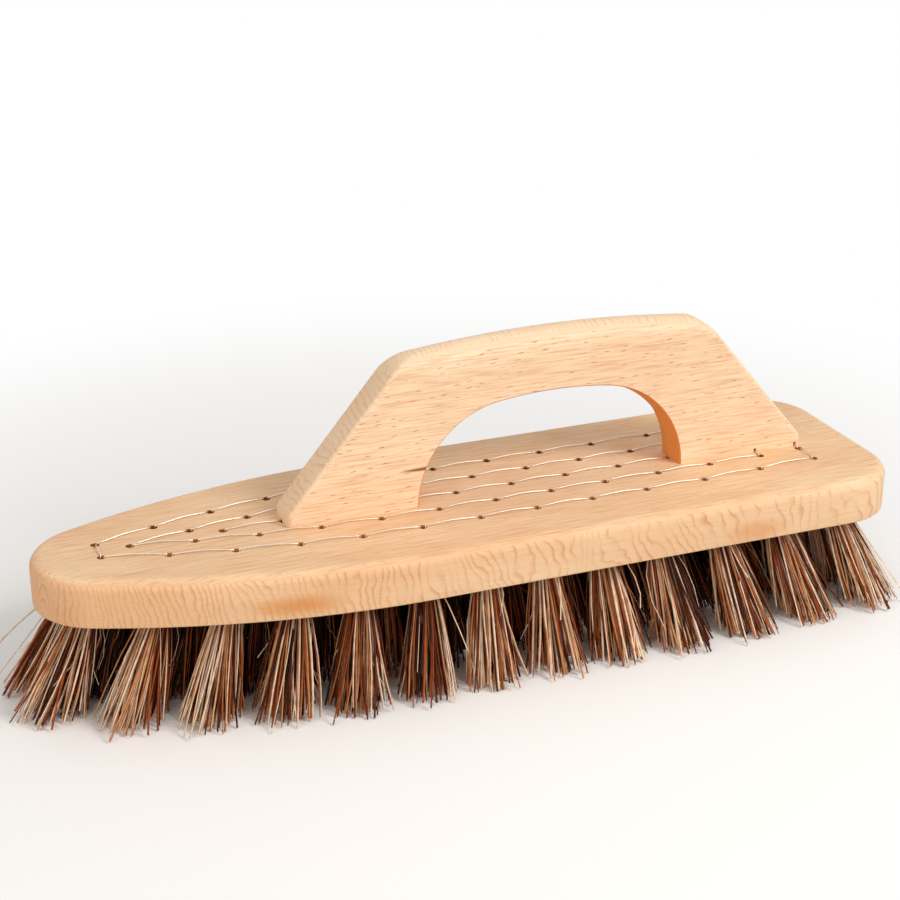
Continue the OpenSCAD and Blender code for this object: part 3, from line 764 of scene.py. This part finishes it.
def fibre_material():
    """Plant fibre, mixed bassine and tampico: dull, slightly waxy strands that run from near
    black through rust and tan to cream."""
    c = props("finish")
    made, tree = material("Plant fibre, mixed, trimmed")
    put = partial(add, tree)
    tone, part = (put("ShaderNodeAttribute", attribute_name=name).node.outputs["Fac"]
                  for name in ("tone", "part"))
    body = put("ShaderNodeValToRGB", [tone])
    stops = ((0.02, c.fibre_black), (0.2, c.fibre_brown), (0.42, c.fibre_rust),
             (0.62, c.fibre_tan), (0.82, c.fibre_cream))
    bar = body.node.color_ramp.elements
    while len(bar) < len(stops):
        bar.new(0.5)
    for element, (at, tint) in zip(bar, stops):
        element.position, element.color = at, (*tint, 1)

    # streaks about 3 mm long, and the shade in which a fibre leaves the block
    where = put("ShaderNodeTexCoord").node.outputs["Object"]
    streaks = put(NOISE, {"Vector": where, "Scale": 380.0, "Detail": 2.0})
    for shade in (put(RANGE, [streaks, 0.3, 0.75, 0.72, 1.12]),
                  put(RANGE, [part, 0.05, 0.6, 0.7, 1.0])):
        body = put(MIX, {0: 1.0, 6: body, 7: shade}, data_type="RGBA", blend_type="MULTIPLY")
    shader = put("ShaderNodeBsdfPrincipled", {
        "Base Color": body, "Roughness": 0.6, "IOR": 1.5, "Specular IOR Level": 0.2})
    put("ShaderNodeOutputMaterial", {"Surface": shader})
    return made


def metal_material(name, tint, roughness, scale):
    """Drawn or plated steel: a bright satin metal with fine marks. scale is the marks' waves
    per metre. They are drawn about 1 mm wide, because real ones are too fine to show."""
    made, tree = material(name)
    put = partial(add, tree)
    where = put("ShaderNodeTexCoord").node.outputs["Object"]
    marks = put(NOISE, {"Vector": where, "Scale": scale, "Detail": 3.0})
    dull = put(MIX, {0: marks, 6: (*[v * 0.72 for v in tint], 1), 7: (*tint, 1)},
               data_type="RGBA")
    bump = put("ShaderNodeBump", {"Strength": 0.15, "Distance": 0.0001, "Height": marks})
    shader = put("ShaderNodeBsdfPrincipled", {
        "Base Color": dull, "Normal": bump, "Metallic": 1.0, "Roughness": roughness})
    put("ShaderNodeOutputMaterial", {"Surface": shader})
    return made


def seen_white(tree):
    """1 for the rays that see the background as plain white: the camera's, and those that
    gloss and glass send on."""
    path = add(tree, "ShaderNodeLightPath").node.outputs
    seen = add(tree, MATH, [path["Is Camera Ray"], path["Is Glossy Ray"]], "MAXIMUM")
    return add(tree, MATH, [seen, path["Is Transmission Ray"]], "MAXIMUM")


# ---------------------------------------------------------------- operators

class SCRUB_OT_block(bpy.types.Operator):
    """Shape the board, drill its tuft and wire holes and seat its screws"""
    bl_idname = "scrub.block"
    bl_label = "Block"

    def execute(self, context):
        b, d, c = props("block"), props("drilling"), props("finish")
        t = Template()

        # the curved sides are arcs that run into the flanks, and a smaller arc joins them
        half, side = b.wide / 2, b.side_radius - b.wide / 2
        nose = (b.side_radius ** 2 - side ** 2 - b.taper ** 2) / (2 * (b.side_radius - b.taper))
        meet = math.degrees(math.atan2(side, nose - b.taper))

        def outline(inset):
            back = np.concatenate([
                arc((b.long - b.corner_radius, half - b.corner_radius),
                    b.corner_radius - inset, 0, 90, 12),
                arc((b.taper, -side), b.side_radius - inset, 90, meet, 40),
                arc((nose, 0), nose - inset, meet, 180, 28)[1:]])
            front = back[-2::-1] * (1, -1)
            return np.concatenate([back, front])

        levels = [(b.bottom_round * (1 - math.cos(a)), b.bottom_round * (1 - math.sin(a)))
                  for a in np.radians(np.linspace(0, 90, 4))]
        levels += [(b.thick + b.top_round * (math.cos(a) - 1), b.top_round * (1 - math.sin(a)))
                   for a in np.radians(np.linspace(90, 0, 11))]
        bm = bmesh.new()
        skin(bm, [[(x + t.shift, y, t.under + up) for x, y in outline(inset)]
                  for up, inset in levels])
        board = solid("board", bm)

        # tuft holes are drilled from below and wire holes from above, on the same axes
        turns = [t.turn(h) for h in t.holes]
        exits, mouths = (loose(name, station_mesh(name, places, turn=turns)) for name, places in (
            ("tuft stations", [t.mouth(h) + t.down(h) * t.through(h) for h in t.holes]),
            ("wire stations", [t.mouth(h) for h in t.holes])))
        # the walls of the holes and the sides and nose faces of the block get painted shade
        wood = beech(
            "Beech block, fine sanded", top_axis=2, tints=(c.beech, c.beech_pale),
            painted_shade_tint=c.drilled, painted_side_shade=0.1, lines=0.62, pitch=1.3, near=100.0,
            rays=0.6, ray_cell=(5, 1.9, 30), ray_size=(1.2, 0.16, 9),
            spots=[((-66, -40, 36.5), (18, 12, 4.2), c.patch, 0.8),
                   ((87, -40, 36.0), (14, 9, 4.6), c.patch, 0.5)])
        tree = drill_tree()
        wear(board, tree, {"Stations": exits, "Diameter": d.tuft_hole, "Depth": d.tuft_depth,
                           "Sides": 28, "Wood": wood})
        wear(board, tree, {"Stations": mouths, "Diameter": d.wire_hole,
                           "Depth": b.thick * 0.9, "Sides": 20, "Wood": wood})

        low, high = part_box("screw_nose")
        head, wide = high[0] - low[0], SCREW + 2 * SCREW_GAP
        rise = (head - SCREW) / 2
        bores, sinks = bmesh.new(), bmesh.new()
        for x, y in t.screws():
            rod(bores, x, y, t.under - PAST, t.top + PAST, wide, wide)
            rod(sinks, x, y, t.under - SCREW_GAP, t.under + rise + SCREW_GAP,
                head + 2 * SCREW_GAP, SCREW)
        cutters = [solid("screw bores", bores), solid("screw sinks", sinks)]
        cut_away(board, cutters)
        piece = plain("beech_block", board, (exits, mouths, *cutters))
        finish_wood(piece, 2, t.on_wall, wood)
        ride(piece, "beech", "block")
        return {"FINISHED"}


class SCRUB_OT_grip(bpy.types.Operator):
    """Shape the arched grip, its finger opening and the wire grooves under its feet"""
    bl_idname = "scrub.grip"
    bl_label = "Grip"

    def execute(self, context):
        g, b, w, c = props("grip"), props("block"), props("wire"), props("finish")
        t = Template()
        mid = b.long - g.from_tail + t.shift
        end, half, s = g.long / 2, g.thick / 2, g.slope

        # centres of the foot's, the shoulder's and the crown's arcs, each tangent to the next
        normal = np.array([math.sin(s), math.cos(s)])
        uphill = np.array([-math.cos(s), math.sin(s)])
        foot = (end - g.foot_radius, g.foot_rise + g.foot_radius * (math.sin(s) - 1) / math.cos(s))
        crown = np.array([0, g.high - g.crown_radius])
        q = np.array([end, g.foot_rise]) - normal * g.shoulder_radius - crown
        along = float(uphill @ q)
        shoulder = crown + q + uphill * (math.sqrt(
            along * along - float(q @ q) + (g.crown_radius - g.shoulder_radius) ** 2) - along)
        ray = shoulder - crown
        meet, slope = math.degrees(math.atan2(ray[1], ray[0])), math.degrees(s)

        # outline from the foot over the crown, the way it faces, and the rounding of its edges
        arcs = [(foot, g.foot_radius, 0, 90 - slope, 6),
                (shoulder, g.shoulder_radius, 90 - slope, meet, 14),
                (crown, g.crown_radius, meet, 90, 16)]
        line = np.concatenate([[[end, 0]]] + [arc(*each) for each in arcs])
        faces = np.concatenate([[0]] + [np.linspace(start, stop, count + 1)
                                        for _, _, start, stop, count in arcs])
        keep = np.append(True, np.abs(np.diff(line, axis=0)).sum(axis=1) > SAME)
        line, faces = line[keep], np.radians(faces[keep])
        turned = np.clip((np.degrees(faces) - 90 + slope) / (meet - 90 + slope), 0, 1)
        full = min(g.crown_round, half - FLAT_CROWN)
        edge = g.foot_round + (full - g.foot_round) * turned
        line = np.concatenate([line, line[-2::-1] * (-1, 1)])
        edge = np.concatenate([edge, edge[-2::-1]])
        faces = np.concatenate([faces, math.pi - faces[-2::-1]])
        outwards = np.column_stack([np.cos(faces), np.sin(faces)])

        rings = []
        for side, turns in ((-1, np.linspace(-90, 0, 9)), (1, np.linspace(0, 90, 9))):
            for a in np.radians(turns):
                inset = line - outwards * (edge * (1 - math.cos(a)))[:, None]
                depth = side * (half - edge) + edge * math.sin(a)
                rings.append([(mid + x, y, t.top + z) for (x, z), y in zip(inset, depth)])
        bm = bmesh.new()
        skin(bm, rings)
        body = solid("grip body", bm)

        # opening: ridged wall, with a fine sanded arris at both faces
        hx, gap = g.opening_wide / 2 - g.haunch_radius, g.opening_high - g.haunch_radius
        fall = (hx * hx - gap * gap) / (2 * gap)
        turn = math.degrees(math.atan2(fall, hx))

        def hollow(inset):
            right = np.concatenate([
                [[g.opening_wide / 2 - inset, -2 * PAST]],
                arc((hx, 0), g.haunch_radius - inset, 0, turn, 26),
                arc((0, -fall), g.opening_high + fall - inset, turn, 90, 14)[1:]])
            return np.concatenate([right, right[-2::-1] * (-1, 1)])

        a = g.arris
        steps = [(-half - PAST, -a - PAST), (-half + a, 0), (0, g.ridge), (half - a, 0),
                 (half + PAST, -a - PAST)]
        bm = bmesh.new()
        skin(bm, [[(mid - g.opening_set + x, y, t.top + z) for x, z in hollow(inset)]
                  for y, inset in steps])
        cutters = [solid("opening", bm)]

        # a groove over every stitch that passes under a foot
        wide, high = w.thick + 2 * w.gap, w.arch + w.thick / 2 + w.gap
        lines = [(h, k) for ring in (t.outer, t.inner) for h, k in zip(ring, ring[1:] + ring[:1])]
        lines += list(zip(t.centre, t.centre[1:]))
        for h, k in lines:
            near = h[1] * k[1] < 0 or min(abs(h[1]), abs(k[1])) < half + wide
            first, last = sorted((h[0] + t.shift, k[0] + t.shift))
            if not near or last < mid - end or first > mid + end:
                continue
            run = Vector((k[0] - h[0], k[1] - h[1], 0))
            spin = run.to_track_quat("X", "Z").to_matrix()
            bm = bmesh.new()
            for v in box(bm, (0, -wide / 2, -PAST), (run.length, wide / 2, high)):
                v.co = spin @ v.co + t.mouth(h)
            cutters.append(solid("groove", bm))
        bm = bmesh.new()
        bore = SCREW + 2 * SCREW_GAP
        for x, y in t.screws():
            rod(bm, x, y, t.top - PAST, t.under + SCREW_LONG, bore, bore)
        cutters.append(solid("screw bores", bm))
        cut_away(body, cutters)
        piece = plain("beech_grip", body, cutters)

        middle = np.array([mid - g.opening_set, 0, t.top])

        def in_opening(at, facing):
            inward = ((middle - at) * facing).sum(axis=1)
            return (inward > SAME) & (np.abs(facing[:, 1]) < 0.9)

        # the opening's wall gets painted shade
        finish_wood(piece, 1, in_opening, beech(
            "Beech grip, fine sanded", top_axis=1, tints=(c.grip, c.grip_pale),
            painted_shade_tint=c.beech_painted_shade, painted_side_shade=0.0, lines=0.4, pitch=1.7, near=600.0,
            rays=1.0, ray_cell=(4.4, 26, 1.75), ray_size=(1.4, 8, 0.2),
            spots=[((-14.0, -6.5, 60.0), (8, 2, 0.75), c.heart, 0.95)]))
        ride(piece, "beech", "grip")
        return {"FINISHED"}


class SCRUB_OT_wires(bpy.types.Operator):
    """Stitch the three draw wires from hole to hole"""
    bl_idname = "scrub.wires"
    bl_label = "Draw wires"

    def execute(self, context):
        w, d = props("wire"), props("drilling")
        t = Template()
        radius = w.thick / 2
        lip = d.wire_hole / 2 - radius - LIP_GAP
        steel = metal_material("Draw wire, bright steel", props("finish").wire, 0.34, 900.0)
        tree = wire_tree()

        def fold(h, way):
            """End of the wire's loop through a tuft's fold."""
            return t.mouth(h) + t.down(h) * (t.through(h) - d.tuft_depth + LOOP_UP) + way * w.leg

        def rim(h, way):
            """Where the wire lies on the lip of its hole."""
            return t.mouth(h) + way * lip + Vector((0, 0, radius + LIFT))

        def stitch(h, k):
            """From the fold of one tuft over the top to the fold of the next."""
            way = Vector((k[0] - h[0], k[1] - h[1], 0)).normalized()
            a, b, dip = rim(h, way), rim(k, -way), Vector((0, 0, DIP))
            over = [a.lerp(b, f) + Vector((0, 0, (w.arch - radius - LIFT)
                                           * math.sin(math.pi * f) ** 1.6))
                    for f in np.linspace(0, 1, 9)]
            return [fold(h, way), a - way * LIFT - dip, *over, b + way * LIFT - dip,
                    fold(k, -way)]

        for name, holes, closed in (("outer", t.outer, True), ("inner", t.inner, True),
                                    ("centre", t.centre, False)):
            following = holes[1:] + holes[:1] if closed else holes[1:]
            points = [p for h, k in zip(holes, following) for p in stitch(h, k)]
            links = [(i, i + 1) for i in range(len(points) - 1)]
            if closed:
                links.append((len(points) - 1, 0))
            mesh = bpy.data.meshes.new("line")
            mesh.from_pydata([tuple(p) for p in points], links, [])
            piece = plain("draw_wire_" + name, wear(loose("line", mesh), tree, {
                "Diameter": w.thick, "Sides": 8, "Steel": steel}))
            piece.data.shade_smooth()
            ride(piece, "draw_wire", "wire_" + name)
        return {"FINISHED"}


class SCRUB_OT_tufts(bpy.types.Operator):
    """Fill every tuft hole with a fan of mixed plant fibre, trimmed to one plane"""
    bl_idname = "scrub.tufts"
    bl_label = "Tufts"

    def execute(self, context):
        u = props("tufts")
        t = Template()
        tree, fibre = fibre_tree(), fibre_material()
        sizes = {"Fibres": u.fibres, "Root radius": u.root_radius, "Fan radius": u.fan_radius,
                 "Thickness": u.girth, "Unevenness": u.uneven, "Lowest tip": u.lowest,
                 "Wander": u.wander, "Bend": u.bend, "Stray share": u.stray_share,
                 "Stray reach": u.stray_reach, "Stray rise": u.stray_rise, "Fibre": fibre}
        names = sorted(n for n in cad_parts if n.startswith("tuft"))

        # the inner tufts lose their pale fibres: painted shade, as if they stood in the shade
        # between the tufts
        for name, holes, stems, painted_inner_shade, seed in (
                ("outer", t.outer, ("tuft_outer", "tuft_tail"), 0.0, 11),
                ("inner", t.inner, ("tuft_inner",), 0.34, 23),
                ("centre", t.centre, ("tuft_centre",), 0.4, 37)):
            roots = [t.mouth(h) + t.down(h) * (t.through(h) - u.sunk) for h in holes]
            mesh = station_mesh(
                "tuft stations", roots, down=[t.settled(h) for h in holes],
                outward=[t.outward(h) for h in holes],
                along=[t.down(h).cross(t.outward(h)) for h in holes],
                reach=[r.z / -t.settled(h).z for r, h in zip(roots, holes)])
            piece = plain("fibre_tufts_" + name, wear(loose("stations", mesh), tree, {
                **sizes, "Painted inner shade": painted_inner_shade, "Seed": seed}))
            piece.data.shade_smooth()
            ride(piece, "fibre", *[n for n in names if n.startswith(stems)])
        return {"FINISHED"}


class SCRUB_OT_screws(bpy.types.Operator):
    """Give the two wood screws their plated finish"""
    bl_idname = "scrub.screws"
    bl_label = "Screws"

    def execute(self, context):
        plated = metal_material("Screw steel, zinc plated", props("finish").screw, 0.38, 700.0)
        for name in ("screw_nose", "screw_tail"):
            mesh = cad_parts[name].data
            mesh.materials.clear()
            mesh.materials.append(plated)
        return {"FINISHED"}


class SCRUB_OT_stage(bpy.types.Operator):
    """Set up the floor, the soft studio lamps and the camera"""
    bl_idname = "scrub.stage"
    bl_label = "Stage"

    def execute(self, context):
        scene, s, c = context.scene, props("stage"), props("finish")

        # matt paper. It lights the brush from below a little less than it looks, and runs out
        # into the white background
        bm = bmesh.new()
        bmesh.ops.create_grid(bm, x_segments=1, y_segments=1, size=6)
        floor = solid("floor", bm)
        made, tree = material("Studio floor, matt paper")
        put = partial(add, tree)
        seen = seen_white(tree)
        tint = put(MIX, {0: seen, 6: (*[v * 0.62 for v in c.floor], 1), 7: (1, 1, 1, 1)},
                   data_type="RGBA")
        paper = put("ShaderNodeBsdfPrincipled", {
            "Base Color": tint, "Roughness": 0.9, "Specular IOR Level": 0.0})
        where = put("ShaderNodeTexCoord").node.outputs["Object"]
        fade = put(RANGE, [put(VECTOR, [where], "LENGTH"), s.paper_near, s.paper_far],
                   interpolation_type="SMOOTHSTEP")
        glow = put("ShaderNodeEmission", {"Color": (1, 1, 1, 1), "Strength": 1.0})
        both = put("ShaderNodeMixShader", [put(MATH, [fade, seen], "MULTIPLY"), paper, glow])
        put("ShaderNodeOutputMaterial", {"Surface": both})
        floor.data.materials.append(made)

        # a white background that gives less light than it shows
        world = bpy.data.worlds.new("Studio")
        scene.world = world
        world.use_nodes = True
        tree = world.node_tree
        tree.nodes.clear()
        dim, white = (add(tree, "ShaderNodeBackground", {"Color": (1, 1, 1, 1), "Strength": power})
                      for power in (0.42, 1.0))
        mixed = add(tree, "ShaderNodeMixShader", [seen_white(tree), dim, white])
        add(tree, "ShaderNodeOutputWorld", {"Surface": mixed})

        # lamps: name, place, size, power in watts and colour
        for name, at, size, power, tint in (
                ("key", (0.72, -0.85, 0.86), 0.55, 11.2, (1.0, 0.98, 0.95)),
                ("fill", (-0.95, -0.9, 0.45), 0.9, 6.6, (1.0, 0.86, 0.72)),
                ("top", (0.1, 0.15, 1.3), 0.9, 1.9, (1.0, 0.98, 0.95))):
            lamp = bpy.data.lights.new(name, "AREA")
            lamp.shape, lamp.size, lamp.energy, lamp.color = "SQUARE", size, power, tint
            obj = loose(name, lamp)
            obj.location = at
            to_brush = Vector((0, 0, 0.04)) - Vector(at)
            obj.rotation_euler = to_brush.to_track_quat("-Z", "Y").to_euler()

        lens = bpy.data.cameras.new("camera")
        lens.lens, lens.sensor_width, lens.clip_start = s.lens, 36, 0.01
        eye = loose("camera", lens)
        eye.location = Vector(s.camera_at) + Vector((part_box("block")[0][0], 0, 0))
        eye.rotation_euler = Vector(s.camera_way).to_track_quat("-Z", "Y").to_euler()
        scene.camera = eye
        scene.view_settings.view_transform = "Standard"
        return {"FINISHED"}


class SCRUB_PT_panel(bpy.types.Panel):
    """Sizes, colours and building steps of the brush"""
    bl_idname = "SCRUB_PT_panel"
    bl_label = "Scrub Brush"
    bl_space_type = "VIEW_3D"
    bl_region_type = "UI"
    bl_category = "Scrub Brush"

    def draw(self, context):
        for kind in STEPS:
            self.layout.operator(kind.bl_idname)
        for name, kind in GROUPS.items():
            part = self.layout.box()
            part.label(text=name.title())
            for key in kind.__annotations__:
                part.prop(props(name), key)


STEPS = (SCRUB_OT_stage, SCRUB_OT_block, SCRUB_OT_grip, SCRUB_OT_wires, SCRUB_OT_tufts,
         SCRUB_OT_screws)
GROUPS = {"block": ScrubBlock, "grip": ScrubGrip, "drilling": ScrubDrilling,
          "tufts": ScrubTufts, "wire": ScrubWire, "finish": ScrubFinish, "stage": ScrubStage}


def register():
    for kind in (*GROUPS.values(), *STEPS, SCRUB_PT_panel):
        bpy.utils.register_class(kind)
    for name, kind in GROUPS.items():
        setattr(bpy.types.Scene, "scrub_" + name, PointerProperty(type=kind))


def unregister():
    for name in GROUPS:
        delattr(bpy.types.Scene, "scrub_" + name)
    for kind in (SCRUB_PT_panel, *reversed(STEPS), *reversed(GROUPS.values())):
        bpy.utils.unregister_class(kind)


def main():
    """Builds everything in order."""
    register()
    bpy.ops.scrub.stage()
    bpy.ops.scrub.block()
    bpy.ops.scrub.grip()
    bpy.ops.scrub.wires()
    bpy.ops.scrub.tufts()
    bpy.ops.scrub.screws()


if __name__ == "__main__":
    main()
